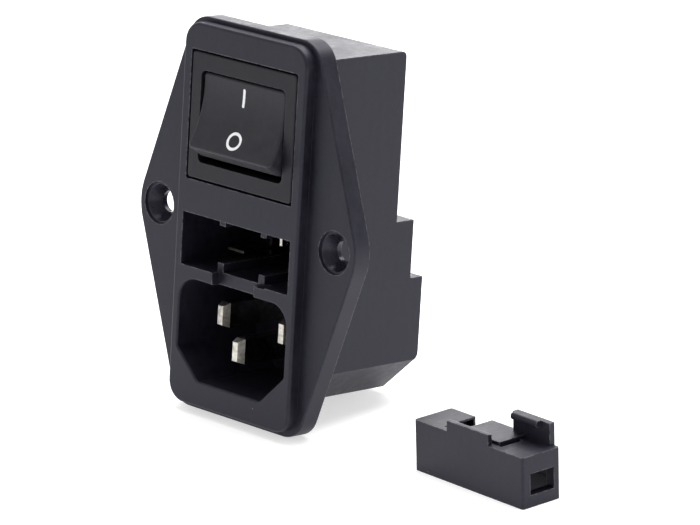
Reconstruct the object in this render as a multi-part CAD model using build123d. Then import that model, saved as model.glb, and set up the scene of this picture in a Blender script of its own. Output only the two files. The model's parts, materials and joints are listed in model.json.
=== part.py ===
from build123d import *
import os
from math import cos, radians, sin, tan

# Mains inlet with a rocker switch and a fuse slot, for a panel cut-out. Millimetres.
# X runs to the right, Y into the panel and Z up. The origin is on the flange's back face,
# midway between the two screw holes.

# How far a cut passes the face that it opens, and how far joined shapes reach into each other
past = 1.0
bite = 0.5

# How close a corner or edge lies to the place where it is looked for
near = 0.1

# Flange with its two screw ears
flange_t = 3.2
flange_over = 0.75
flange_under = 0.95
ear_reach = 25.1
flank_slope = 0.355
ear_r = 9.0
flange_corner_r = 4.5
flange_edge_r = 0.3
screw_spacing = 40.0
screw_r = 1.7
sink_r = 3.4
sink_step = 0.4
sink_cone_r = 3.0
sink_land = 0.87

# Raised bezel on the flange
bezel_rise = 1.9
bezel_side = 0.72
bezel_head = 4.23
bezel_foot = 4.12
bezel_corner_r = 3.3
bezel_edge_r = 0.45

# Stepped body behind the flange: switch bay, fuse bay and socket bay
body_head = 1.87
body_foot = 1.52
body_chamfer_drop = 0.49
body_chamfer_foot_x = 6.66
switch_bay_depth = 16.9
fuse_bay_depth = 20.64
socket_bay_depth = 23.3
fuse_bay_over = 0.69
socket_bay_under = 0.25
bay_wall = 1.25
body_rear_r = 0.9

# Switch: recess, throat and case
switch_bar = 5.39
recess_ledge = 0.7
recess_half_h = 10.3
recess_depth = 2.6
frame_gap = 0.28
frame_edge_r = 0.25
recess_corner_r = 0.35
frame_corner_r = 0.6
throat_wall = 1.78
throat_half_h = 9.61
throat_back = 2.0
case_gap = 0.15
case_depth = 12.6
case_wall_x = 1.6
case_wall_z = 1.4
aperture_half_h = 7.3
front_wall = 2.4
aperture_corner_r = 1.0
nib_w = 6.0
nib_h = 0.6
nib_length = 3.4

# Rocker: seen from the side, its face is a hollow arc between two raised ends
rocker_tilt = 28.0
rocker_side_gap = 0.25
pivot_inset = 3.8
pivot_r = 1.3
pivot_play = 0.05
pivot_reach = 1.1
pivot_end_play = 0.15
face_half = 5.95
face_out = 5.17
face_dip = 1.05
flank_half = 6.9
flank_out = 2.2
flank_in = 1.7
skirt_in = 0.6
rocker_wall = 1.4
face_wall = 1.5
rocker_corner_r = 0.8
rocker_edge_r = 0.45
leg_root = 0.6

# Poles: two of everything that follows, at either side of the middle
pole_inset = 4.6
leg_r = 2.1
leg_in = 4.4
bore_top = 2.2
plunger_r = 1.2
plunger_play = 0.05
plunger_tip = 6.2
plunger_length = 5.7
spring_wire_r = 0.13
spring_r = 0.9
spring_turns = 4
spring_end_gap = 0.03
fulcrum_r = 0.4
fulcrum_play = 0.05
tip_gap = 0.05
bridge_tilt = 22.0
bridge_w = 3.0
bridge_t = 0.6
hub_r = 1.0
bridge_up = 3.5
bridge_down = 7.1
contact_arm = 6.0
contact_r = 1.1
rivet_face = 0.7
rivet_shank_r = 0.5
rivet_play = 0.02
rivet_cap_r = 0.85
rivet_cap_t = 0.2
contact_gap = 0.05
fixed_contact_t = 0.6

# Switch base and its blade terminals
base_t = 1.6
base_step = 0.8
base_play = 0.05
blade_t = 0.8
blade_w = 4.8
blade_out = 7.9
blade_hole_r = 0.8
blade_hole_inset = 3.2
blade_nose = 0.9
shoulder_over = 0.5
shoulder_t = 0.8
load_blade_drop = 7.25

# Fuse slot
slot_wall = 0.86
slot_top = 0.47
slot_h = 8.47
slot_floor = 12.0
slot_floor_t = 1.6
slot_corner_r = 0.2
rib_x = 4.7
rib_w = 1.3
rib_nub = 1.17
rib_post = 1.42
notch_left = -4.85
notch_right = 4.7
notch_in = 1.55
relief_x = 6.15
relief_w = 2.8
relief_h = 0.22
relief_in = 2.4

# Fuse contacts: upright plates that pass through the slot's floor
clip_x = 5.75
clip_t = 0.5
clip_blade_w = 4.8
clip_blade_drop = 4.87
clip_blade_end = 20.2
clip_play = 0.05
hook_front = -0.8
hook_drop = 2.52
hook_w = 1.1
arm_h = 1.36
arm_gap = 0.06
root_front = 8.0
leaf_front = 1.69
leaf_drop = 5.9
leaf_left = -8.8
leaf_right = -5.15
leaf_t = 0.4

# Socket and its three pins
socket_half_w = 12.28
slot_bar = 2.02
socket_h = 16.01
socket_chamfer_h = 4.82
socket_chamfer_foot_x = 7.2
socket_top_r = 3.5
socket_foot_r = 0.8
socket_floor = 12.0
socket_floor_t = 2.0
lip_r = 0.35
socket_wall = 0.85
pin_spacing = 14.0
pin_drop = 5.78
earth_drop = 4.0
pin_h = 4.0
pin_w = 2.0
pin_front = -1.0
earth_front = -4.0
pin_point = 1.3
pin_point_flat = 0.45
pin_play = 0.05
collar_over = 0.6
collar_t = 1.2
pin_blade_w = 6.3
pin_blade_end = 22.6

# Fuse carrier, taken out and standing beside the inlet on the table that the inlet leans back on
table_tilt = 6.4
carrier_x = 36.1
carrier_y = 0.95
carrier_yaw = -3.7
carrier_side_gap = 0.1
carrier_depth_gap = 0.97
carrier_h = 8.12
carrier_edge_r = 0.4
fuse_r = 2.7
end_wall = 1.65
fuse_up = 3.6
fuse_in = 3.9
window_w = 4.7
window_h = 3.35
load_gap_w = 5.3
left_block = 5.5
left_gap = 4.0
right_block = 5.9
right_gap = 0.7
right_gap_back = 5.4
pocket_front = 3.2
pocket_in = 1.5
pocket_roof = 0.3
pocket_wall = 0.35
middle_rise = 0.5
middle_front = 1.4
middle_back = 7.3
top_cut = 2.5
carrier_skin = 1.1
lip_play = 0.1
lip_rise = 1.7
lip_t = 0.75
latch_inset = 1.1
latch_w = 8.1
latch_rise = 3.6
latch_t = 1.0
bead_inset = 0.45
bead_w = 5.65
bead_out = 0.9
bead_h = 1.1
bead_r = 0.45

# Places worked out from the sizes above: first the row of openings from the slot up and down
front_y = -flange_t - bezel_rise
slot_bottom = slot_top - slot_h
socket_top = slot_bottom - slot_bar
socket_bottom = socket_top - socket_h
socket_chamfer_side_z = socket_bottom + socket_chamfer_h
switch_z = slot_top + switch_bar + recess_half_h
switch_top = switch_z + recess_half_h
bezel_top = switch_top + bezel_head
bezel_bottom = socket_bottom - bezel_foot
flange_top = bezel_top + flange_over
flange_bottom = bezel_bottom - flange_under
body_top = switch_top + body_head
body_bottom = socket_bottom - body_foot
body_chamfer_side_z = socket_chamfer_side_z - body_chamfer_drop
fuse_bay_top = slot_top + fuse_bay_over
socket_bay_top = slot_bottom - socket_bay_under
pin_z = socket_top - pin_drop
earth_z = pin_z - earth_drop
clip_blade_z = slot_top - clip_blade_drop
hook_low = slot_top - hook_drop
arm_low = slot_top - arm_gap - arm_h

# Then the widths, which follow the socket's
body_half_w = socket_half_w + socket_wall
bezel_half_w = body_half_w + bezel_side
throat_half_w = body_half_w - throat_wall
slot_half_w = body_half_w - slot_wall
recess_half_w = throat_half_w + recess_ledge
frame_seat_y = front_y + recess_depth
pivot_y = front_y + pivot_inset
frame_half_w = recess_half_w - frame_gap
frame_half_h = recess_half_h - frame_gap
case_half_w = throat_half_w - case_gap
aperture_half_w = case_half_w - case_wall_x
case_half_h = throat_half_h - case_gap
rocker_half_w = aperture_half_w - rocker_side_gap
pole_x = aperture_half_w - pole_inset
bore_r = plunger_r + plunger_play
fulcrum_y = pivot_y + plunger_tip + tip_gap + hub_r
base_y = case_depth - base_t
blade_end_y = case_depth + blade_out
rest_rock = -rocker_tilt / 2
rest_bridge = bridge_tilt / 2
collar_y = socket_floor + socket_floor_t


def block(x0, x1, y0, y1, z0, z1):
    """Box between two corners."""
    return Pos((x0 + x1) / 2, (y0 + y1) / 2, (z0 + z1) / 2) * Box(x1 - x0, y1 - y0, z1 - z0)


def along_y(sketch, y0, y1):
    """A sketch of X and Z values, made solid from y0 back to y1."""
    return extrude(Plane(origin=(0, y1, 0), x_dir=(1, 0, 0), z_dir=(0, -1, 0)) * sketch, amount=y1 - y0)


def along_x(sketch, x0, x1):
    """A sketch of Y and Z values, made solid from x0 to x1."""
    return extrude(Plane(origin=(x0, 0, 0), x_dir=(0, 1, 0), z_dir=(1, 0, 0)) * sketch, amount=x1 - x0)


def along_z(sketch, z0, z1):
    """A sketch of X and Y values, made solid from z0 up to z1."""
    return extrude(Pos(0, 0, z0) * sketch, amount=z1 - z0)


def rod_y(x, z, r, y0, y1):
    """Round bar along Y."""
    return along_y(Pos(x, z) * Circle(r), y0, y1)


def rod_x(y, z, r, x0, x1):
    """Round bar along X."""
    return along_x(Pos(y, z) * Circle(r), x0, x1)


def outline(points):
    """Closed face through straight-line points."""
    return make_face(Polyline(*points, close=True))


def window(half_w, low, high, r):
    """Upright opening with rounded corners, as a sketch of X and Z."""
    return Pos(0, (low + high) / 2) * RectangleRounded(2 * half_w, high - low, r)


def edges_at_y(solid, y):
    """Edges that lie wholly in the plane at y."""
    return solid.edges().filter_by(lambda e: all(abs((e @ t).Y - y) < 1e-4 for t in (0, 0.5, 1)))


def flange_outline():
    """Top and bottom edges, with straight flanks that meet at the rounded ears."""
    top_x = ear_reach - flank_slope * flange_top
    foot_x = ear_reach + flank_slope * flange_bottom
    ends = [(top_x, flange_top), (-top_x, flange_top)]
    feet = [(-foot_x, flange_bottom), (foot_x, flange_bottom)]
    face = outline([ends[0], ends[1], (-ear_reach, 0), feet[0], feet[1], (ear_reach, 0)])
    ears = face.vertices().filter_by(lambda v: abs(v.Y) < near)
    face = fillet(ears, ear_r)
    corners = face.vertices().filter_by(
        lambda v: v.Y > flange_top - near or v.Y < flange_bottom + near
    )
    return fillet(corners, flange_corner_r)


def with_cut_corners(half_w, top, side_z, foot_x, bottom):
    """Section of the socket: square on top, with its two lower corners cut off."""
    right = [(half_w, top), (half_w, side_z), (foot_x, bottom)]
    left = [(-x, z) for x, z in reversed(right)]
    return outline(right + left)


def screw_hole(x):
    """Through hole with a countersink, and a shallow step and ledge at its mouth."""
    cone_y = -flange_t + sink_step
    length = -sink_land - cone_y
    cone = Pos(x, cone_y + length / 2, 0) * Rot(90, 0, 0) * Cone(screw_r, sink_cone_r, length)
    step = rod_y(x, 0, sink_r, -flange_t - past, cone_y)
    return rod_y(x, 0, screw_r, -flange_t - past, past) + cone + step


def bay(top, bottom, depth):
    """One step of the body behind the flange."""
    profile = outline([(0, bottom), (depth, bottom), (depth, top), (0, top)])
    return along_x(profile, -body_half_w, body_half_w)


def body_shell():
    """The stepped body as one solid, before it is hollowed."""
    switch_bay = bay(body_top, fuse_bay_top, switch_bay_depth)
    rear_top = switch_bay.edges().filter_by(Axis.X).filter_by(
        lambda e: e.center().Y > switch_bay_depth - near and e.center().Z > body_top - near
    )
    switch_bay = fillet(rear_top, body_rear_r)
    fuse_bay = bay(fuse_bay_top, socket_bay_top, fuse_bay_depth)
    section = with_cut_corners(
        body_half_w, socket_bay_top, body_chamfer_side_z, body_chamfer_foot_x, body_bottom
    )
    socket_bay = along_y(section, 0, socket_bay_depth)
    rear_low = edges_at_y(socket_bay, socket_bay_depth).filter_by(
        lambda e: e.center().Z < body_chamfer_side_z
    )
    socket_bay = fillet(rear_low, body_rear_r)
    return switch_bay + fuse_bay + socket_bay


def socket_cavity():
    """Space that the cord's connector fills, with a rounded mouth."""
    section = with_cut_corners(
        socket_half_w, socket_top, socket_chamfer_side_z, socket_chamfer_foot_x, socket_bottom
    )
    tops = section.vertices().filter_by(lambda v: v.Y > socket_top - near)
    section = fillet(tops, socket_top_r)
    feet = section.vertices().filter_by(lambda v: v.Y < socket_chamfer_side_z + near)
    section = fillet(feet, socket_foot_r)
    return along_y(section, front_y, socket_floor)


def rear_rooms():
    """Open rooms at the back, where the wires' receptacles reach the blades."""
    half_w = body_half_w - bay_wall
    switch_room = block(
        -half_w, half_w, throat_back, switch_bay_depth + past,
        fuse_bay_top + bay_wall, body_top - bay_wall,
    )
    fuse_room = block(
        -half_w, half_w, slot_floor + slot_floor_t, fuse_bay_depth + past,
        socket_bay_top + bay_wall, slot_top,
    )
    slope = (body_bottom - body_chamfer_side_z) / (body_half_w - body_chamfer_foot_x)
    room_bottom = body_bottom + bay_wall
    room_side_z = body_chamfer_side_z + bay_wall / 2
    room_foot_x = half_w + (room_bottom - room_side_z) / -slope
    section = with_cut_corners(half_w, socket_bay_top - bay_wall, room_side_z, room_foot_x, room_bottom)
    return switch_room + fuse_room + along_y(section, collar_y, socket_bay_depth + past)


def bar_notch():
    """Recess in the bar between slot and socket, for the carrier's lip."""
    return block(
        notch_left, notch_right, front_y - past, front_y + notch_in, socket_top - past, slot_bottom + past
    )


def slot_ribs():
    """Four guides in the slot: a low nub above and a taller post below, left and right."""
    ribs = []
    front, back = front_y + notch_in, slot_floor + bite
    for side in (-1, 1):
        x0 = side * rib_x - rib_w / 2
        x1 = side * rib_x + rib_w / 2
        ribs.append(block(x0, x1, front, back, slot_top - rib_nub, slot_top + bite))
        ribs.append(block(x0, x1, front, back, slot_bottom - bite, slot_bottom + rib_post))
    return ribs


def lip_relief():
    """Shallow three-cornered relief in the slot's lower lip."""
    half = relief_w / 2
    mouth = [(relief_x - half, front_y - past), (relief_x + half, front_y - past)]
    wedge = outline(mouth + [(relief_x, front_y + relief_in)])
    return along_z(wedge, slot_bottom - relief_h, slot_bottom + bite)


def pin_places():
    """Name, x, z and front y of the three pins."""
    return [
        ("live_pin", pin_spacing / 2, pin_z, pin_front),
        ("neutral_pin", -pin_spacing / 2, pin_z, pin_front),
        ("earth_pin", 0, earth_z, earth_front),
    ]


def housing():
    """Flange, bezel and body as one moulding."""
    flange = along_y(flange_outline(), -flange_t, 0)
    flange = fillet(edges_at_y(flange, -flange_t), flange_edge_r)
    bezel = along_y(window(bezel_half_w, bezel_bottom, bezel_top, bezel_corner_r), front_y, -flange_t)
    bezel = fillet(edges_at_y(bezel, front_y), bezel_edge_r)
    shape = flange + bezel + body_shell()
    for x in (-screw_spacing / 2, screw_spacing / 2):
        shape -= screw_hole(x)
    low, high = switch_z - recess_half_h, switch_z + recess_half_h
    shape -= along_y(window(recess_half_w, low, high, recess_corner_r), front_y - past, frame_seat_y)
    shape -= block(
        -throat_half_w, throat_half_w, frame_seat_y - past, throat_back + past,
        switch_z - throat_half_h, switch_z + throat_half_h,
    )
    shape -= rear_rooms()
    slot = window(slot_half_w, slot_bottom, slot_top, slot_corner_r)
    shape -= along_y(slot, front_y - past, slot_floor)
    shape -= socket_cavity()
    for rib in slot_ribs():
        shape += rib
    shape -= bar_notch()
    shape -= lip_relief()
    mouth = edges_at_y(shape, front_y).filter_by(
        lambda e: socket_bottom - near < e.center().Z < socket_top - bite
        and abs(e.center().X) < socket_half_w + near
    )
    shape = fillet(mouth, lip_r)
    half_w, half_h = pin_w / 2 + pin_play, pin_h / 2 + pin_play
    for _, x, z, _ in pin_places():
        shape -= block(
            x - half_w, x + half_w, socket_floor - past, collar_y + past, z - half_h, z + half_h
        )
    for side in (-1, 1):
        shape -= clip_slit(side, clip_play)
    return shape


def clip_slit(side, play):
    """The plate of a fuse contact where it passes through the slot's floor."""
    half_t, half_w = clip_t / 2 + play, clip_blade_w / 2 + play
    return block(
        side * clip_x - half_t, side * clip_x + half_t, slot_floor - past, slot_floor + slot_floor_t + past,
        clip_blade_z - half_w, clip_blade_z + half_w,
    )


def blade_outline(width, start, end):
    """Flat blade seen from its broad side, with a narrowed nose, in length and width."""
    half = width / 2
    nose = half - blade_nose
    low = [(start, -half), (end - blade_nose, -half), (end, -nose)]
    high = [(x, -w) for x, w in reversed(low)]
    return outline(low + high)


def flat_blade(x, z, start, end):
    """Blade that lies level, with the round hole that its receptacle clicks into."""
    face = blade_outline(blade_w, start, end) - Pos(end - blade_hole_inset, 0) * Circle(blade_hole_r)
    level = Plane(origin=(x, 0, z - blade_t / 2), x_dir=(0, 1, 0), z_dir=(0, 0, 1))
    return extrude(level * face, amount=blade_t)


def upright_blade(x, z, start, end):
    """Blade that stands on edge, in line with a pin."""
    face = blade_outline(pin_blade_w, start, end) - Pos(end - blade_hole_inset, 0) * Circle(blade_hole_r)
    return along_x(Pos(0, z) * face, x - blade_t / 2, x + blade_t / 2)


def pin(x, z, front):
    """Rectangular pin with a tapered point, a collar behind the floor and a rear blade."""
    half_w, half_h = pin_w / 2, pin_h / 2
    shank = block(x - half_w, x + half_w, front + pin_point, collar_y, z - half_h, z + half_h)
    seat = Plane(origin=(x, front + pin_point, z), x_dir=(1, 0, 0), z_dir=(0, -1, 0))
    tip = Plane(origin=(x, front, z), x_dir=(1, 0, 0), z_dir=(0, -1, 0))
    flat = pin_point_flat
    point = loft([seat * Rectangle(pin_w, pin_h), tip * Rectangle(pin_w - 2 * flat, pin_h - 2 * flat)])
    collar = block(
        x - half_w - collar_over, x + half_w + collar_over, collar_y, collar_y + collar_t,
        z - half_h - collar_over, z + half_h + collar_over,
    )
    return shank + point + collar + upright_blade(x, z, collar_y, pin_blade_end)


def fuse_clip(side):
    """Fuse contact, one bent stamping. The right one hooks down from the slot's ceiling on to the
    fuse's cap, and the left one reaches the other cap from behind with a level leaf."""
    x0, x1 = side * clip_x - clip_t / 2, side * clip_x + clip_t / 2
    blade = blade_outline(clip_blade_w, slot_floor, clip_blade_end)
    blade -= Pos(clip_blade_end - blade_hole_inset, 0) * Circle(blade_hole_r)
    face = Pos(0, clip_blade_z) * blade
    low, high = clip_blade_z - clip_blade_w / 2, clip_blade_z + clip_blade_w / 2
    if side > 0:
        top, hook_back = slot_top - arm_gap, hook_front + hook_w
        hook = [(hook_front, top), (hook_front, hook_low), (hook_back, hook_low), (hook_back, arm_low)]
        neck = [(slot_floor - hook_w, arm_low), (slot_floor - hook_w, low), (slot_floor, low)]
        face += outline(hook + neck + [(slot_floor, top)])
        return along_x(face, x0, x1)
    root = outline([(root_front, low), (slot_floor, low), (slot_floor, high), (root_front, high)])
    leaf_top = slot_top - leaf_drop
    leaf = block(leaf_left, leaf_right, leaf_front, root_front + bite, leaf_top - leaf_t, leaf_top)
    return along_x(face + root, x0, x1) + leaf


def switch_frame():
    """Front frame and open-backed case of the switch, one moulding."""
    low, high = switch_z - frame_half_h, switch_z + frame_half_h
    frame = along_y(window(frame_half_w, low, high, frame_corner_r), front_y, frame_seat_y)
    frame = fillet(edges_at_y(frame, front_y), frame_edge_r)
    case = block(
        -case_half_w, case_half_w, frame_seat_y, case_depth, switch_z - case_half_h, switch_z + case_half_h
    )
    shape = frame + case
    low, high = switch_z - aperture_half_h, switch_z + aperture_half_h
    aperture = window(aperture_half_w, low, high, aperture_corner_r)
    shape -= along_y(aperture, front_y - past, case_depth + past)
    room_half_h = case_half_h - case_wall_z
    shape -= block(
        -case_half_w + case_wall_x, case_half_w - case_wall_x, front_y + front_wall, case_depth + past,
        switch_z - room_half_h, switch_z + room_half_h,
    )
    step_w, step_h = case_half_w - base_step, case_half_h - base_step
    shape -= block(-step_w, step_w, base_y, case_depth + past, switch_z - step_h, switch_z + step_h)
    hole_end = rocker_half_w + pivot_reach + pivot_end_play
    shape -= rod_x(pivot_y, switch_z, pivot_r + pivot_play, -hole_end, hole_end)
    for side in (-1, 1):
        shape += case_nib(side)
    return shape


def case_nib(side):
    """Wedge above or below the case that clips behind the housing's throat."""
    edge = switch_z + side * case_half_h
    catch_y = throat_back + case_gap
    root = edge - side * bite
    wedge = [(catch_y, root), (catch_y, edge + side * nib_h), (catch_y + nib_length, root)]
    return along_x(outline(wedge), -nib_w / 2, nib_w / 2)


def switch_base():
    """Plate that closes the case and carries the four terminals."""
    half_w = case_half_w - base_step - base_play
    half_h = case_half_h - base_step - base_play
    plate = block(-half_w, half_w, base_y, case_depth, switch_z - half_h, switch_z + half_h)
    for side in (-1, 1):
        for z in (switch_z, switch_z - load_blade_drop):
            half_slot = blade_w / 2 + base_play
            plate -= block(
                side * pole_x - half_slot, side * pole_x + half_slot, base_y - past, case_depth + past,
                z - blade_t / 2 - base_play, z + blade_t / 2 + base_play,
            )
    return plate


def rocker_face(out, half, dip, flank, flank_at, back):
    """Side view of the rocker about its pivot, where -Y is outwards."""
    arc = ThreePointArc((-out, half), (dip - out, 0), (-out, -half))
    low = [(-out, -half), (-flank_at, -flank), (back, -flank)]
    high = [(y, -z) for y, z in reversed(low)]
    return make_face(arc + Polyline(*low, *high))


def rocker():
    """Hollow rocker with two trunnions and a bored leg for each pole, built level about its pivot."""
    side_view = rocker_face(face_out, face_half, face_dip, flank_half, flank_out, skirt_in)
    shell = along_x(side_view, -rocker_half_w, rocker_half_w)
    ends = shell.edges().filter_by(
        lambda e: abs(e.center().X) > rocker_half_w - near and abs(e.center().Z) > face_half
    )
    shell = fillet(ends, rocker_corner_r)
    rims = shell.edges().filter_by(lambda e: e.center().Y < -face_out + face_dip + near)
    shell = fillet(rims, rocker_edge_r)
    room_half = flank_half - rocker_wall
    room = rocker_face(
        face_out - face_wall, face_half - rocker_wall, face_dip, room_half, flank_in, skirt_in + past
    )
    shell -= along_x(room, -rocker_half_w + rocker_wall, rocker_half_w - rocker_wall)
    for side in (-1, 1):
        ends = sorted([side * (rocker_half_w - bite), side * (rocker_half_w + pivot_reach)])
        shell += rod_x(0, 0, pivot_r, *ends)
        shell += rod_y(side * pole_x, 0, leg_r, -face_out + face_dip + leg_root, leg_in)
        shell -= rod_y(side * pole_x, 0, bore_r, -bore_top, leg_in + past)
    return at_pivot(shell)


def at_pivot(shape):
    """Puts something built about the rocker's pivot into the switch, with the I side pressed."""
    return Pos(0, pivot_y, switch_z) * Rot(rest_rock, 0, 0) * shape


def plunger(side):
    """Round plunger with a domed tip, in the leg's bore."""
    shank = rod_y(side * pole_x, 0, plunger_r, plunger_tip - plunger_length, plunger_tip - plunger_r)
    dome = Pos(side * pole_x, plunger_tip - plunger_r, 0) * Sphere(plunger_r)
    return at_pivot(shank + dome)


def plunger_spring(side):
    """Coil spring between the bore's end and the plunger."""
    room = plunger_tip - plunger_length + bore_top
    length = room - 2 * spring_wire_r - 2 * spring_end_gap
    coil = Helix(pitch=length / spring_turns, height=length, radius=spring_r)
    section = Plane(origin=coil @ 0, z_dir=coil % 0) * Circle(spring_wire_r)
    wire = sweep(section, path=coil)
    start = spring_wire_r + spring_end_gap - bore_top
    return at_pivot(Pos(side * pole_x, start, 0) * Rot(-90, 0, 0) * wire)


def at_fulcrum(shape):
    """Puts something built about the bridge's fulcrum into the switch, with the contacts closed."""
    return Pos(0, fulcrum_y, switch_z) * Rot(rest_bridge, 0, 0) * shape


def contact_bridge(side):
    """Rocking strip with a hub that sits on the fulcrum and a hole for its contact rivet."""
    x0, x1 = side * pole_x - bridge_w / 2, side * pole_x + bridge_w / 2
    strip = block(x0, x1, -hub_r, -hub_r + bridge_t, -bridge_down, bridge_up)
    hub = rod_x(0, 0, hub_r, x0, x1) & block(x0, x1, -hub_r, 0, -hub_r, hub_r)
    shape = strip + hub - rod_x(0, 0, fulcrum_r + fulcrum_play, x0 - past, x1 + past)
    shape -= rod_y(side * pole_x, -contact_arm, rivet_shank_r + rivet_play, -hub_r - past, past)
    return at_fulcrum(shape)


def bridge_contact(side):
    """Silver rivet through the end of the bridge."""
    x = side * pole_x
    back = -hub_r + bridge_t
    head = rod_y(x, -contact_arm, contact_r, back, back + rivet_face)
    shank = rod_y(x, -contact_arm, rivet_shank_r, -hub_r - rivet_cap_t, back)
    cap = rod_y(x, -contact_arm, rivet_cap_r, -hub_r - rivet_cap_t, -hub_r)
    return at_fulcrum(head + shank + cap)


def fixed_contact(side):
    """Silver contact on the load terminal, parallel to the rivet that closes on it."""
    start = -hub_r + bridge_t + rivet_face + contact_gap
    return at_fulcrum(rod_y(side * pole_x, -contact_arm, contact_r, start, start + fixed_contact_t))


def shouldered_blade(x, z, inner_y):
    """Level blade through the base, with shoulders that bear on the base's front."""
    half = bridge_w / 2
    inner = block(x - half, x + half, inner_y, base_y, z - blade_t / 2, z + blade_t / 2)
    wide = blade_w / 2 + shoulder_over
    shoulder = block(x - wide, x + wide, base_y - shoulder_t, base_y, z - blade_t / 2, z + blade_t / 2)
    return inner + shoulder + flat_blade(x, z, base_y - shoulder_t, blade_end_y)


def feed_terminal(side):
    """Terminal whose rounded front edge is the bridge's fulcrum."""
    x = side * pole_x
    edge = rod_x(fulcrum_y, switch_z, fulcrum_r, x - bridge_w / 2, x + bridge_w / 2)
    return shouldered_blade(x, switch_z, fulcrum_y) + edge


def load_terminal(side):
    """Terminal with a bent arm that carries the fixed contact."""
    x = side * pole_x
    start = -hub_r + bridge_t + rivet_face + contact_gap + fixed_contact_t
    low, high = -bridge_down - near, -contact_arm + contact_r
    arm = at_fulcrum(
        block(x - bridge_w / 2, x + bridge_w / 2, start, start + blade_t, low, high)
    )
    z = switch_z - load_blade_drop
    arm_foot_y = fulcrum_y + start * cos(radians(rest_bridge)) + bridge_down * sin(radians(rest_bridge))
    return shouldered_blade(x, z, arm_foot_y) + arm


def fuse_carrier():
    """Carrier for one small glass fuse, built in its own square frame and then set on the table. The
    fuse goes in from below, and its caps show through the windows in both ends."""
    length = 2 * (slot_half_w - carrier_side_gap)
    depth = slot_top - slot_bottom - carrier_depth_gap
    body = block(0, length, 0, depth, 0, carrier_h)
    body = fillet(body.edges().filter_by(Axis.Z), carrier_edge_r)
    root = carrier_h - bite
    middle_start, middle_end = left_block + left_gap, length - right_block - right_gap
    body += block(middle_start, middle_end, middle_front, middle_back, root, carrier_h + middle_rise)
    lip_start, lip_end = length / 2 + notch_left + lip_play, length / 2 + notch_right - lip_play
    body += block(lip_start, lip_end, 0, lip_t, root, carrier_h + lip_rise)
    latch_end = length - latch_inset
    latch_start = latch_end - latch_w
    body += block(latch_start, latch_end, depth - latch_t, depth, root, carrier_h + latch_rise)
    body += latch_bead(latch_start, depth)
    body -= along_x(Pos(fuse_in, fuse_up) * Circle(fuse_r), end_wall, length - end_wall)
    near_y, far_y = fuse_in - load_gap_w / 2, fuse_in + load_gap_w / 2
    body -= block(end_wall, length - end_wall, near_y, far_y, -past, fuse_up)
    low, high = fuse_up - window_h / 2, fuse_up + window_h / 2
    body -= block(-past, length + past, fuse_in - window_w / 2, fuse_in + window_w / 2, low, high)
    low, high = carrier_h - top_cut, carrier_h + past
    body -= block(left_block, middle_start, carrier_skin, depth + past, low, high)
    body -= block(middle_end, length - right_block, carrier_skin, right_gap_back, low, high)
    body -= block(
        left_block - pocket_in, left_block + past, pocket_front, depth - pocket_wall,
        low, carrier_h - pocket_roof,
    )
    return on_table(body)


def latch_bead(start, depth):
    """Rounded bead along the top of the latch, on the side that faces the lip."""
    y = depth - latch_t
    top = carrier_h + latch_rise
    left = start + bead_inset
    solid = block(left, left + bead_w, y - bead_out, y + bite, top - bead_h, top)
    front = solid.edges().filter_by(Axis.X).filter_by(lambda e: e.center().Y < y)
    return fillet(front, bead_r)


def on_table(shape):
    """The table passes under the flange's lower edge and tilts up towards the back."""
    z = flange_bottom + carrier_y * tan(radians(table_tilt))
    return Pos(carrier_x, carrier_y, z) * Rot(table_tilt, 0, 0) * Rot(0, 0, carrier_yaw) * shape


def save(name, shape):
    """Writes one node."""
    export_step(shape, f"parts/{name}.step")


def main():
    """Builds every node."""
    os.makedirs("parts", exist_ok=True)
    save("housing", housing())
    for name, x, z, front in pin_places():
        save(name, pin(x, z, front))
    save("switch_frame", switch_frame())
    save("switch_base", switch_base())
    save("rocker", rocker())
    save("fuse_carrier", fuse_carrier())
    for word, side in (("left", -1), ("right", 1)):
        save(f"fuse_contact_{word}", fuse_clip(side))
        save(f"plunger_{word}", plunger(side))
        save(f"plunger_spring_{word}", plunger_spring(side))
        save(f"contact_bridge_{word}", contact_bridge(side))
        save(f"bridge_contact_{word}", bridge_contact(side))
        save(f"fixed_contact_{word}", fixed_contact(side))
        save(f"feed_terminal_{word}", feed_terminal(side))
        save(f"load_terminal_{word}", load_terminal(side))


main()
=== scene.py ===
# %% [markdown]
# # A mains inlet with a rocker switch
#
# The object is a black moulded panel inlet: a flange with two screw ears, a rocker switch on top,
# an open fuse slot in the middle, a socket with three flat pins below, and the small carrier for
# the fuse taken out and standing beside it. The CAD model gives every solid. This notebook gives
# the solids their finishes, with the grain, the wear and the rounded edges that moulding and
# stamping leave, with painted highlights along the pale edges and painted shade on two parts. It
# prints the marks on the rocker, and sets up a plain floor, soft light and a camera.
#
# Everything is in metres: X to the right, Y into the panel and Z up.

# %% Load the frame
import json
import math

import bpy
import numpy as np
from mathutils import Matrix, Vector


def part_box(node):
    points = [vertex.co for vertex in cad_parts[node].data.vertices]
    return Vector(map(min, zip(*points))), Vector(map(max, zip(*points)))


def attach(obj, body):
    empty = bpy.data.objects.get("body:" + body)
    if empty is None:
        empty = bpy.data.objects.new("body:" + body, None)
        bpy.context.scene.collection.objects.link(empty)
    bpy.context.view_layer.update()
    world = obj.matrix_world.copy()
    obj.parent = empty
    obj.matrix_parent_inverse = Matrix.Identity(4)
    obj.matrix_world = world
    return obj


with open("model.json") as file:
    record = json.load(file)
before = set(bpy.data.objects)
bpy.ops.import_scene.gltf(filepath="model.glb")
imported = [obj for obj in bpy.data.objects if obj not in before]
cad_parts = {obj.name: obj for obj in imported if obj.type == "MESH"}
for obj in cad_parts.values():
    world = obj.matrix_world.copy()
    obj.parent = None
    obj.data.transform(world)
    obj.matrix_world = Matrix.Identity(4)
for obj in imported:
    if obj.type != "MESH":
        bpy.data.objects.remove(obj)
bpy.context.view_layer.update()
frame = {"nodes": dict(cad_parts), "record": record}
MM = 0.001

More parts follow.
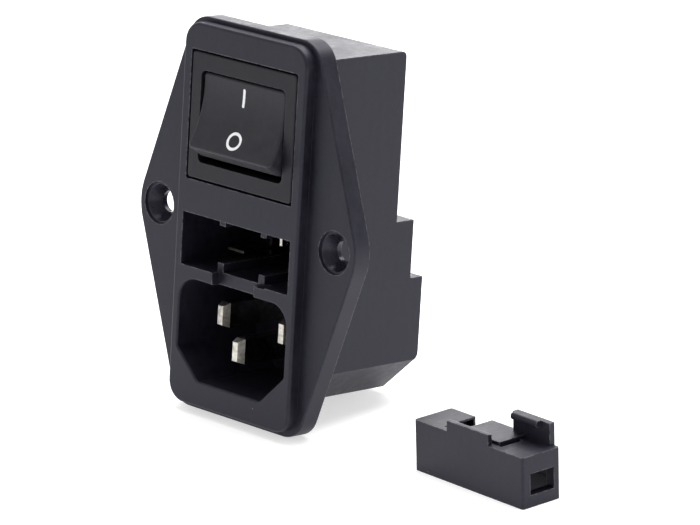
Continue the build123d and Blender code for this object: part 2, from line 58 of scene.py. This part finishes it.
# %% [markdown]
# ## The camera
#
# The picture is a product shot with a long lens, from the right and a little above. A long lens
# shows hardly any perspective, so the camera stands far away for such a small object. Turning a
# camera by azimuth, elevation and roll keeps the three facts apart: where it stands round the
# object, how high it stands, and how far the object leans in the picture.

# %% Camera
FRAME_W = 700
FOCAL_PX = 4663.25
SENSOR_MM = 36.0
CAMERA_AT = Vector((0.51398, -0.48728, 0.15836))
CAMERA_AZIMUTH = math.radians(45.37)
CAMERA_ELEVATION = math.radians(13.0)
CAMERA_ROLL = math.radians(3.3)
NEAREST = 0.01
FARTHEST = 20.0


def camera_turn(azimuth, elevation, roll):
    """Columns are right, up and back. Back points from the scene to the camera, right lies level,
    up is back crossed with right, and then both turn about back by the roll."""
    back = Vector((
        math.sin(azimuth) * math.cos(elevation),
        -math.cos(azimuth) * math.cos(elevation),
        math.sin(elevation),
    ))
    level = Vector((math.cos(azimuth), math.sin(azimuth), 0.0))
    turn = Matrix.Rotation(roll, 3, back)
    right, up = turn @ level, turn @ back.cross(level)
    return Matrix((right, up, back)).transposed()


camera = bpy.data.objects.new("camera", bpy.data.cameras.new("camera"))
bpy.context.collection.objects.link(camera)
camera.data.sensor_width = SENSOR_MM
camera.data.lens = FOCAL_PX / FRAME_W * SENSOR_MM
camera.data.clip_start = NEAREST
camera.data.clip_end = FARTHEST
camera.location = CAMERA_AT
camera.rotation_mode = "QUATERNION"
camera.rotation_quaternion = camera_turn(
    CAMERA_AZIMUTH, CAMERA_ELEVATION, CAMERA_ROLL
).to_quaternion()
bpy.context.scene.camera = camera
print("lens", round(camera.data.lens, 1), "mm")

# %% [markdown]
# ## Surfaces from formulas
#
# Each new piece is a grid of points: two parameters run over a square, and a formula turns them
# into a place in space. Working on whole arrays keeps the code short, and one function turns any
# grid into a mesh. A grid can close on itself either way, which makes a tube or a ring.

# %% Grid to mesh
def grid_faces(rows, columns, close_rows=False, close_columns=False):
    """Quads between neighbours of a rows by columns grid. Point (i, j) has number i * columns + j,
    and a closed direction joins its last line to its first."""
    i = np.arange(rows if close_rows else rows - 1)[:, None]
    j = np.arange(columns if close_columns else columns - 1)[None, :]
    i2, j2 = (i + 1) % rows, (j + 1) % columns
    corners = [i * columns + j, i * columns + j2, i2 * columns + j2, i2 * columns + j]
    return np.stack(np.broadcast_arrays(*corners), axis=-1).reshape(-1, 4)


def make_piece(name, points, faces, material, body, slot):
    """One smooth mesh object at the origin, with its place in its points, riding on a CAD body."""
    mesh = bpy.data.meshes.new(name)
    mesh.from_pydata(points.reshape(-1, 3).tolist(), [], [list(face) for face in faces])
    mesh.polygons.foreach_set("use_smooth", np.full(len(mesh.polygons), True))
    mesh.update()
    mesh.materials.append(material)
    piece = bpy.data.objects.new(name, mesh)
    bpy.context.collection.objects.link(piece)
    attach(piece, body)
    print(name, len(mesh.polygons), "faces")

# %% [markdown]
# ## Writing shaders as sums
#
# A finish here is a little arithmetic on noise. Blender does arithmetic with Math nodes, which are
# slow to read when they are wired one by one. This class wraps a socket, so that `a * b + c`
# writes the Math nodes itself. Every other node comes from `Finish.node`.

# %% Expressions on sockets
class Value:
    """A number that changes over the surface. Each operator adds a Math node."""

    def __init__(self, finish, socket):
        self.finish = finish
        self.socket = socket

    def math(self, operation, first, second):
        return self.finish.node("ShaderNodeMath", {"operation": operation}, {0: first, 1: second})

    def __add__(self, other):
        return self.math("ADD", self, other)

    def __radd__(self, other):
        return self.math("ADD", other, self)

    def __sub__(self, other):
        return self.math("SUBTRACT", self, other)

    def __rsub__(self, other):
        return self.math("SUBTRACT", other, self)

    def __mul__(self, other):
        return self.math("MULTIPLY", self, other)

    def __rmul__(self, other):
        return self.math("MULTIPLY", other, self)

    def __pow__(self, other):
        return self.math("POWER", self, other)

    def __abs__(self):
        return self.math("ABSOLUTE", self, 0.0)

# %% [markdown]
# ## One class for a finish
#
# Every material starts the same way: a Principled shader, and a pattern that is fixed to the piece
# by its Object coordinates, so that it moves with the piece. The class below holds the node tree
# and gives each kind of pattern a short name. A mask is a number from 0 to 1, and `between` sets
# where it begins and ends.

# %% The finish class
EDGE_SAMPLES = 6


class Finish:
    """A material and its node tree. Coordinates are Object coordinates, in metres."""

    def __init__(self, name):
        self.material = bpy.data.materials.new(name)
        self.material.use_nodes = True
        self.tree = self.material.node_tree
        self.shader = self.tree.nodes["Principled BSDF"]
        self.coordinates = self.node("ShaderNodeTexCoord", {}, {}, "Object")

    def node(self, kind, settings, inputs, output=0):
        """Adds a node: its settings first, then a value or a link for each socket."""
        made = self.tree.nodes.new(kind)
        for key, value in settings.items():
            setattr(made, key, value)
        for key, value in inputs.items():
            self.feed(made.inputs[key], value)
        return Value(self, made.outputs[output])

    def feed(self, socket, value):
        """A wrapped value becomes a link, and anything else is set on the socket."""
        if isinstance(value, Value):
            self.tree.links.new(value.socket, socket)
        else:
            socket.default_value = value

    def set(self, **inputs):
        """Feeds the Principled shader. Underscores stand for the spaces in a socket's name."""
        for key, value in inputs.items():
            self.feed(self.shader.inputs[key.replace("_", " ")], value)

    def noise(self, size, detail=3.0, rough=0.7, distortion=0.0):
        """Noise whose patches are about `size` metres across."""
        inputs = {
            "Vector": self.coordinates, "Scale": 1.0 / size, "Detail": detail,
            "Roughness": rough, "Distortion": distortion,
        }
        return self.node("ShaderNodeTexNoise", {"noise_dimensions": "3D"}, inputs, "Fac")

    def streaks(self, squeeze, size):
        """Noise drawn out along the axes whose share in `squeeze` is small."""
        inputs = {"Vector": self.coordinates, "Scale": squeeze}
        along = self.node("ShaderNodeMapping", {}, inputs, "Vector")
        inputs = {"Vector": along, "Scale": 1.0 / size, "Detail": 2.0, "Roughness": 0.6}
        return self.node("ShaderNodeTexNoise", {}, inputs, "Fac")

    def specks(self, spacing, reach):
        """1 inside small grains of dust. Each cell of a Voronoi pattern holds one grain, and its
        size falls to nothing in most cells, so that grains are few and uneven."""
        cells = {"Vector": self.coordinates, "Scale": 1.0 / spacing, "Randomness": 1.0}
        distance = self.node("ShaderNodeTexVoronoi", {}, cells, "Distance")
        chance = self.node("ShaderNodeTexVoronoi", {}, cells, "Color")
        chance = self.node("ShaderNodeSeparateColor", {}, {"Color": chance}, "Red")
        size = self.between(chance, 0.8, 1.0)
        return self.between(size * reach - distance, 0.0, 0.05)

    def between(self, value, low, high):
        """0 where the value is under `low`, 1 where it is over `high`, and a slope between."""
        inputs = {"Value": value, "From Min": low, "From Max": high}
        return self.node("ShaderNodeMapRange", {"clamp": True}, inputs)

    def mix(self, share, first, second):
        """Colour between two colours, by a share from 0 to 1."""
        inputs = {"Factor": share, 6: first, 7: second}
        return self.node("ShaderNodeMix", {"data_type": "RGBA"}, inputs, 2)

    def rounded_edges(self, radius):
        """Normals bent near each edge, as if it were rounded by that radius."""
        settings = {"samples": EDGE_SAMPLES}
        return self.node("ShaderNodeBevel", settings, {"Radius": radius}, "Normal")

    def edge_mask(self, reach):
        """Share of short rays into the solid that meet another face: 0 away from outer edges."""
        settings = {"samples": EDGE_SAMPLES, "inside": True}
        return 1.0 - self.node("ShaderNodeAmbientOcclusion", settings, {"Distance": reach}, "AO")

    def bump(self, height, distance, strength, normal):
        """Bump from a height between 0 and 1, laid over another normal."""
        inputs = {"Height": height, "Distance": distance, "Strength": strength, "Normal": normal}
        return self.node("ShaderNodeBump", {}, inputs, "Normal")

# %% [markdown]
# ## Moulded plastic
#
# The housing is black nylon. Its own colour is nearly black, and what the eye takes for dark grey
# is the surround, mirrored dimly by a satin skin. So the base colour stays close to black, and the
# grain does the rest: a bump of a few hundredths of a millimetre, with slow clouds in the
# roughness where the melt met the mould, and long faint streaks along the way it flowed. The
# corners are painted pale: partly handling wear, partly painted highlights along the edges. Dust
# lies about in a few grains. Real mouldings have no knife edges, so the normals turn over a small
# radius at each edge and catch the light.
#
# The pale corners, worn and painted highlight both, need a mask that knows where an outer edge is.
# Rays sent a short way into the solid leave it only near such an edge, and never at an inner
# corner, so their share is the mask.
#
# The countersinks come from a polished core pin, so they are smoother than the rest.

# %% Moulded plastic
SCREW_X = 20.0 * MM
CONE_R = 3.05 * MM
FLANGE_T = 3.2 * MM
CONE_FADE = 0.25 * MM

CLOUD_SIZE = 9.0 * MM
MOTTLE_SIZE = 1.1 * MM
FLOW_SIZE = 1.2 * MM
FLOW_SQUEEZE = (1.0, 1.0, 0.06)
RUB_HIGHLIGHT_SIZE = 0.8 * MM
RUB_HIGHLIGHT_REACH = 0.22 * MM
DUST_SPACING = 3.0 * MM
DUST_REACH = 0.06
DUST_GREY = (0.34, 0.34, 0.35, 1.0)
GRAIN_HEIGHT = 0.04 * MM
GRAIN_STRENGTH = 0.6
EDGE_RADIUS = 0.12 * MM
PLASTIC_IOR = 1.5
PLASTIC_SPECULAR = 0.33


def polished_cones(finish):
    """1 on the two countersinks, by the distance from the screws' axes, and 0 elsewhere."""
    inputs = {"Vector": finish.coordinates}
    x, y, z = (finish.node("ShaderNodeSeparateXYZ", {}, inputs, axis) for axis in range(3))
    across = abs(x) - SCREW_X
    distance = (across * across + z * z) ** 0.5
    inside = finish.between(CONE_R - distance, 0.0, CONE_FADE)
    deep = finish.between(y + FLANGE_T, 0.6 * CONE_FADE, CONE_FADE)
    return inside * deep


def moulded_plastic(name, dark, light, rubbed_highlight, tint, roughness, polish, grain_size, dust, wear_and_highlight):
    """Base colour runs from dark to light by clouds, mottle and streaks, then towards the pale
    colour at outer edges, which is wear and painted highlight both, and the dust's grey in specks.
    Roughness is its mean plus shares of the same noise. The tint colours what the skin mirrors
    straight on."""
    finish = Finish(name)
    cloud = finish.noise(CLOUD_SIZE, rough=0.6)
    mottle = finish.noise(MOTTLE_SIZE)
    flow = finish.streaks(FLOW_SQUEEZE, FLOW_SIZE)
    share = finish.between(cloud * 0.35 + mottle * 0.4 + flow * 0.25, 0.36, 0.64)
    colour = finish.mix(share, dark, light)
    # Painted highlight and wear: a pale colour mixed in along outer edges, in patches.
    patchy = finish.between(finish.noise(RUB_HIGHLIGHT_SIZE), 0.40, 0.58)
    worn_highlit_edge = finish.between(finish.edge_mask(RUB_HIGHLIGHT_REACH), 0.12, 0.5)
    colour = finish.mix(worn_highlit_edge * patchy * wear_and_highlight, colour, rubbed_highlight)
    colour = finish.mix(finish.specks(DUST_SPACING, DUST_REACH) * dust, colour, DUST_GREY)
    grain = finish.noise(grain_size, rough=0.65)
    height = grain * 0.7 + mottle * 0.3
    round_edges = finish.rounded_edges(EDGE_RADIUS)
    satin = roughness + (cloud - 0.5) * 0.24 + (mottle - 0.5) * 0.22 + (flow - 0.5) * 0.1
    finish.set(
        Base_Color=colour,
        Roughness=satin - polished_cones(finish) * polish,
        Normal=finish.bump(height, GRAIN_HEIGHT, GRAIN_STRENGTH, round_edges),
        IOR=PLASTIC_IOR,
        Specular_IOR_Level=PLASTIC_SPECULAR,
        Specular_Tint=tint,
    )
    print(name, len(finish.tree.nodes), "nodes")
    return finish.material

# %% [markdown]
# ## Four mixes of plastic
#
# The switch is a bought-in part of another nylon: a touch greyer than the housing and without the
# polished cones. Its frame is painted darker and more uneven than the rocker, as painted shade
# round the rocker. The base at the back, in a grey heat-resistant mix, isn't black at all.

# %% The plastics
housing_plastic = moulded_plastic(
    "housing_plastic", dark=(0.0040, 0.0037, 0.0078, 1.0), light=(0.0142, 0.0135, 0.0215, 1.0),
    rubbed_highlight=(0.150, 0.147, 0.162, 1.0), tint=(0.85, 0.84, 1.0, 1.0), roughness=0.48,
    polish=0.2, grain_size=0.22 * MM, dust=1.0, wear_and_highlight=0.85,
)
# Painted shade: the switch's frame is a darker copy of the rocker's nylon.
shaded_switch_plastic = moulded_plastic(
    "shaded_switch_plastic", dark=(0.0020, 0.0019, 0.0036, 1.0), light=(0.0078, 0.0075, 0.0108, 1.0),
    rubbed_highlight=(0.080, 0.079, 0.084, 1.0), tint=(0.92, 0.91, 1.0, 1.0), roughness=0.52,
    polish=0.0, grain_size=0.15 * MM, dust=0.5, wear_and_highlight=0.5,
)
rocker_plastic = moulded_plastic(
    "rocker_plastic", dark=(0.0124, 0.0121, 0.0152, 1.0), light=(0.0242, 0.0236, 0.0282, 1.0),
    rubbed_highlight=(0.095, 0.094, 0.100, 1.0), tint=(0.92, 0.91, 1.0, 1.0), roughness=0.56,
    polish=0.0, grain_size=0.15 * MM, dust=0.5, wear_and_highlight=0.6,
)
base_plastic = moulded_plastic(
    "base_plastic", dark=(0.085, 0.085, 0.080, 1.0), light=(0.13, 0.13, 0.12, 1.0),
    rubbed_highlight=(0.24, 0.24, 0.23, 1.0), tint=(1.0, 1.0, 1.0, 1.0), roughness=0.5,
    polish=0.0, grain_size=0.2 * MM, dust=0.3, wear_and_highlight=0.5,
)

# %% [markdown]
# ## Metal
#
# The pins and blades are nickel-plated brass: stamped, tumbled and plated, so their flat sides are
# nearly mirrors with soft streaks along the strip. Inside the socket such a side mirrors black
# plastic and looks black itself. The tip is another matter: it is coined after the strip is cut,
# which leaves it coarse, and a coarse metal gathers light from everywhere and shines. So the
# roughness rises where the face turns forwards, by the normal's share along -Y.
#
# Streaks of roughness are made by squeezing the noise's coordinates: a small share along Y draws
# its patches out into lines along the strip.

# %% Metal
STRIP_SQUEEZE = (1.0, 0.07, 1.0)
STRIP_SIZE = 0.2 * MM
PATCH_SIZE = 0.9 * MM
FINE_SIZE = 0.35 * MM
SCRATCH_HEIGHT = 0.01 * MM
SCRATCH_STRENGTH = 0.4
COINED_FROM = 0.05
COINED_FULL = 0.25


def drawn_metal(name, dark, light, roughness, tip_roughness, edge_radius, tarnish):
    """Streaks along Y move roughness, and with slow patches the colour. Roughness goes from the
    side's to the tip's as the normal's Y falls towards -0.25."""
    finish = Finish(name)
    streak = finish.streaks(STRIP_SQUEEZE, STRIP_SIZE)
    patch = finish.noise(PATCH_SIZE, detail=4.0, distortion=0.6)
    patch = finish.between(patch, 0.36, 0.62)
    fine = finish.noise(FINE_SIZE)
    true = finish.node("ShaderNodeTexCoord", {}, {}, "Normal")
    turned = finish.node("ShaderNodeSeparateXYZ", {}, {"Vector": true}, "Y")
    coined = finish.between(turned * -1.0, COINED_FROM, COINED_FULL) * (tip_roughness - roughness)
    height = streak * 0.5 + fine * 0.5
    round_edges = finish.rounded_edges(edge_radius)
    finish.set(
        Base_Color=finish.mix(patch * (1.0 - tarnish) + streak * tarnish, dark, light),
        Roughness=roughness + coined + (streak - 0.5) * 0.1 + (fine - 0.5) * 0.14,
        Normal=finish.bump(height, SCRATCH_HEIGHT, SCRATCH_STRENGTH, round_edges),
        Metallic=1.0,
    )
    print(name, len(finish.tree.nodes), "nodes")
    return finish.material

# %% [markdown]
# ## Five metals
#
# The plated pins are bright, with patches where the plating has dulled. The left fuse contact sits
# deep in the slot with its leaf's edge to the viewer: it is a dark copy of the nickel, as painted
# shade, and hardly shows. The bridges inside the switch are bare brass strip, their contacts are a
# dull silver alloy, and the springs are drawn steel wire.

# %% The metals
nickel = drawn_metal(
    "nickel_plate", dark=(0.30, 0.27, 0.22, 1.0), light=(0.74, 0.72, 0.67, 1.0), roughness=0.13,
    tip_roughness=0.42, edge_radius=0.20 * MM, tarnish=0.3,
)
# Painted shade: a dark copy of the nickel for the left fuse contact deep in the slot.
shaded_nickel = drawn_metal(
    "shaded_nickel", dark=(0.03, 0.027, 0.022, 1.0), light=(0.16, 0.15, 0.13, 1.0), roughness=0.30,
    tip_roughness=0.42, edge_radius=0.05 * MM, tarnish=0.3,
)
brass = drawn_metal(
    "rolled_brass", dark=(0.58, 0.40, 0.17, 1.0), light=(0.74, 0.55, 0.27, 1.0), roughness=0.30,
    tip_roughness=0.4, edge_radius=0.08 * MM, tarnish=0.5,
)
silver = drawn_metal(
    "contact_silver", dark=(0.66, 0.65, 0.62, 1.0), light=(0.84, 0.83, 0.81, 1.0), roughness=0.36,
    tip_roughness=0.4, edge_radius=0.12 * MM, tarnish=0.3,
)
spring_wire = drawn_metal(
    "spring_wire", dark=(0.40, 0.40, 0.41, 1.0), light=(0.55, 0.55, 0.56, 1.0), roughness=0.25,
    tip_roughness=0.3, edge_radius=0.03 * MM, tarnish=0.3,
)

# %% [markdown]
# ## Finishes on the solids
#
# Each CAD node says which kind of material it is made of, so one table from kind to finish dresses
# nearly everything. A second, short table holds the nodes that differ from their kind.

# %% Give every CAD node its finish
FINISHES = {
    "moulded_black": housing_plastic,
    "switch_black": shaded_switch_plastic,
    "base_grey": base_plastic,
    "nickel": nickel,
    "bare_brass": brass,
    "contact_silver": silver,
    "spring_steel": spring_wire,
}
OWN_FINISHES = {"rocker": rocker_plastic, "fuse_contact_left": shaded_nickel}

for subpart in frame["record"]["subparts"]:
    name = subpart["node"]
    material = OWN_FINISHES.get(name, FINISHES[subpart["material_slot"]])
    for place in frame["nodes"][name].material_slots:
        place.material = material
    print(name, "->", material.name)

# %% [markdown]
# ## The marks on the rocker
#
# A rocker switch says which end is on with a bar and a ring, printed in white. Ink lies on the
# plastic as a film with a soft edge, and here it follows the hollow of the rocker's face. An image
# would blur when the camera comes close, so each mark is a thin surface: a flat oval carried along
# a line for the bar and round a circle for the ring. Both are worked out on the level rocker, then
# turned about its pivot as the rocker stands at rest.

# %% The rocker's face
rocker_joint = next(j for j in frame["record"]["behaviour"]["joints"] if j["child"] == "rocker")
PIVOT = np.array(rocker_joint["pos_m"])
REST_TILT = math.radians(-rocker_joint["range_deg"][1] / 2)
FACE_HALF = 5.95 * MM
FACE_OUT = 5.17 * MM
FACE_DIP = 1.05 * MM
FACE_RADIUS = (FACE_HALF**2 + FACE_DIP**2) / (2 * FACE_DIP)


def on_rocker(x, up, height):
    """Points on the rocker's hollow face: depth is a circle's arc through its two raised ends and
    its dip, less the height above it. The level point (x, depth, up) then turns about the pivot."""
    depth = FACE_DIP - FACE_OUT - FACE_RADIUS + np.sqrt(FACE_RADIUS**2 - up**2) - height
    c, s = math.cos(REST_TILT), math.sin(REST_TILT)
    turned = np.stack([x, depth * c - up * s, depth * s + up * c], axis=-1)
    return PIVOT + turned


print("face radius", round(FACE_RADIUS / MM, 2), "mm, tilt", round(math.degrees(REST_TILT), 1))

# %% [markdown]
# ## White ink
#
# Pad printing lays down a film about a fiftieth of a millimetre thick. It is never quite white or
# quite even, so both its colour and its gloss follow one fine noise.

# %% White ink
FILM_SIZE = 0.4 * MM


def white_ink():
    """Off-white, faintly uneven in colour and gloss."""
    finish = Finish("white_ink")
    film = finish.noise(FILM_SIZE, rough=0.5)
    finish.set(
        Base_Color=finish.mix(film, (0.74, 0.75, 0.76, 1.0), (0.86, 0.87, 0.88, 1.0)),
        Roughness=0.4 + film * 0.15,
    )
    return finish.material


ink = white_ink()
print("ink", len(ink.node_tree.nodes), "nodes")

# %% [markdown]
# ## The ring and the bar
#
# Both marks have the same section, an oval one stroke wide and two films thick, half of it above
# the rocker's face. For the ring the oval runs round and closes on itself. For the bar it runs
# straight and narrows at both ends, and a last face closes each end.

# %% The ring and the bar
MARK_FROM_PIVOT = 3.4 * MM
BAR_LENGTH = 2.95 * MM
BAR_WIDTH = 0.56 * MM
RING_HALF_WIDTH = 1.60 * MM
RING_HALF_HEIGHT = 1.48 * MM
RING_STROKE = 0.5 * MM
INK_HEIGHT = 0.02 * MM
RING_ROWS = 72
BAR_ROWS = 41
SECTION = 12
SMALLEST = 1e-7


def ring_mark():
    """With u round the ring and v round the stroke's oval section, each half axis is the ring's
    less half a stroke, plus half a stroke times cos v, and the height is the ink's times sin v."""
    u = np.linspace(0, 2 * np.pi, RING_ROWS, endpoint=False)[:, None]
    v = np.linspace(0, 2 * np.pi, SECTION, endpoint=False)[None, :]
    swell = RING_STROKE / 2 * (np.cos(v) - 1)
    x = (RING_HALF_WIDTH + swell) * np.cos(u)
    up = (RING_HALF_HEIGHT + swell) * np.sin(u) - MARK_FROM_PIVOT
    points = on_rocker(x, up, INK_HEIGHT * np.sin(v) + 0 * u)
    return points, grid_faces(RING_ROWS, SECTION, close_rows=True, close_columns=True)


def bar_mark():
    """With s along the bar and v round its oval section, the half width is constant and ends in
    quarter circles: the root of 1 less the square of how far s has gone into the end. The step
    along is three parts even and one part cubed."""
    end = BAR_WIDTH / 2
    along = np.linspace(-1, 1, BAR_ROWS)[:, None]
    s = (along**3 * 0.25 + along * 0.75) * BAR_LENGTH / 2
    into_end = np.clip((np.abs(s) - (BAR_LENGTH / 2 - end)) / end, 0, 1)
    half = end * np.sqrt(np.clip(1 - into_end**2, 0, 1)) + SMALLEST
    v = np.linspace(0, 2 * np.pi, SECTION, endpoint=False)[None, :]
    x, up = half * np.cos(v), s + MARK_FROM_PIVOT + 0 * v
    points = on_rocker(x, up, INK_HEIGHT * np.sin(v) * half / end)
    first = np.arange(SECTION)
    last = first + (BAR_ROWS - 1) * SECTION
    return points, [*grid_faces(BAR_ROWS, SECTION, close_columns=True), first[::-1], last]


make_piece("off_mark", *ring_mark(), ink, "rocker", "switch_black")
make_piece("on_mark", *bar_mark(), ink, "rocker", "switch_black")

# %% [markdown]
# ## Floor
#
# The floor is one plain pale plane. The inlet is modelled square to its own panel, and in the
# picture it leans back a little on the table, so here the table tilts up towards the back instead:
# the same view, and the carrier lies flat on it. Like a photographer's light table it glows, which
# keeps the shadow faint and lets the satin undersides mirror something bright.

# %% Floor
FLOOR_TILT = math.radians(6.4)
FLOOR_HALF = 4.0
FLOOR_LINES = 9
FLOOR_GLOW = 0.58
FLOOR_CLOUD = 0.4


def floor_material():
    """Pale and matt, with a faint cloudiness, and lit from below like a light table."""
    finish = Finish("pale_floor")
    cloud = finish.noise(FLOOR_CLOUD, detail=2.0, rough=0.5)
    finish.set(
        Base_Color=finish.mix(cloud, (0.60, 0.60, 0.60, 1.0), (0.64, 0.64, 0.64, 1.0)),
        Roughness=0.8 + cloud * 0.1,
        Emission_Color=(1.0, 1.0, 1.0, 1.0),
        Emission_Strength=FLOOR_GLOW,
    )
    return finish.material


def floor_points():
    """A square that passes under the flange's lower edge and rises with Y by the tilt."""
    line = np.linspace(-FLOOR_HALF, FLOOR_HALF, FLOOR_LINES)
    x, y = np.meshgrid(line, line, indexing="ij")
    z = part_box("housing")[0].z + y * math.tan(FLOOR_TILT)
    return np.stack([x, y, z], axis=-1)


floor_mesh = bpy.data.meshes.new("floor")
floor_squares = grid_faces(FLOOR_LINES, FLOOR_LINES)
floor_mesh.from_pydata(floor_points().reshape(-1, 3).tolist(), [], floor_squares.tolist())
floor_mesh.materials.append(floor_material())
floor = bpy.data.objects.new("floor", floor_mesh)
bpy.context.collection.objects.link(floor)
print("floor at", round(min(v.co.z for v in floor_mesh.vertices), 2))

# %% [markdown]
# ## Light
#
# A bright, even surround with two large soft lamps stands for the photographer's light tent. The
# surround is what the satin plastic mirrors at a low angle, which makes every upward face much
# lighter than the upright ones. One lamp hangs above, and a wide low one stands behind and to the
# left, so that tops and far edges shine while the front stays dark.

# %% Lamps and surround
AIM = (0.01, 0.0, -0.005)
SURROUND = 0.66


def soft_lamp(name, place, size, power):
    """An area lamp, as wide and as high as its size says, that points at the inlet."""
    data = bpy.data.lights.new(name, "AREA")
    data.shape = "RECTANGLE"
    data.size, data.size_y = size
    data.energy = power
    lamp = bpy.data.objects.new(name, data)
    lamp.location = place
    lamp.rotation_mode = "QUATERNION"
    lamp.rotation_quaternion = (Vector(AIM) - Vector(place)).to_track_quat("-Z", "Y")
    bpy.context.collection.objects.link(lamp)
    print(name, power, "W")


soft_lamp("lamp_above", place=(-0.1, 0.25, 0.8), size=(0.9, 0.9), power=15.0)
soft_lamp("lamp_behind", place=(-1.3, 1.45, 0.36), size=(1.8, 0.5), power=18.0)

world = bpy.data.worlds.new("surround")
world.use_nodes = True
background = world.node_tree.nodes["Background"]
background.inputs["Color"].default_value = (1.0, 1.0, 1.0, 1.0)
background.inputs["Strength"].default_value = SURROUND
bpy.context.scene.world = world
bpy.context.scene.view_settings.view_transform = "Standard"
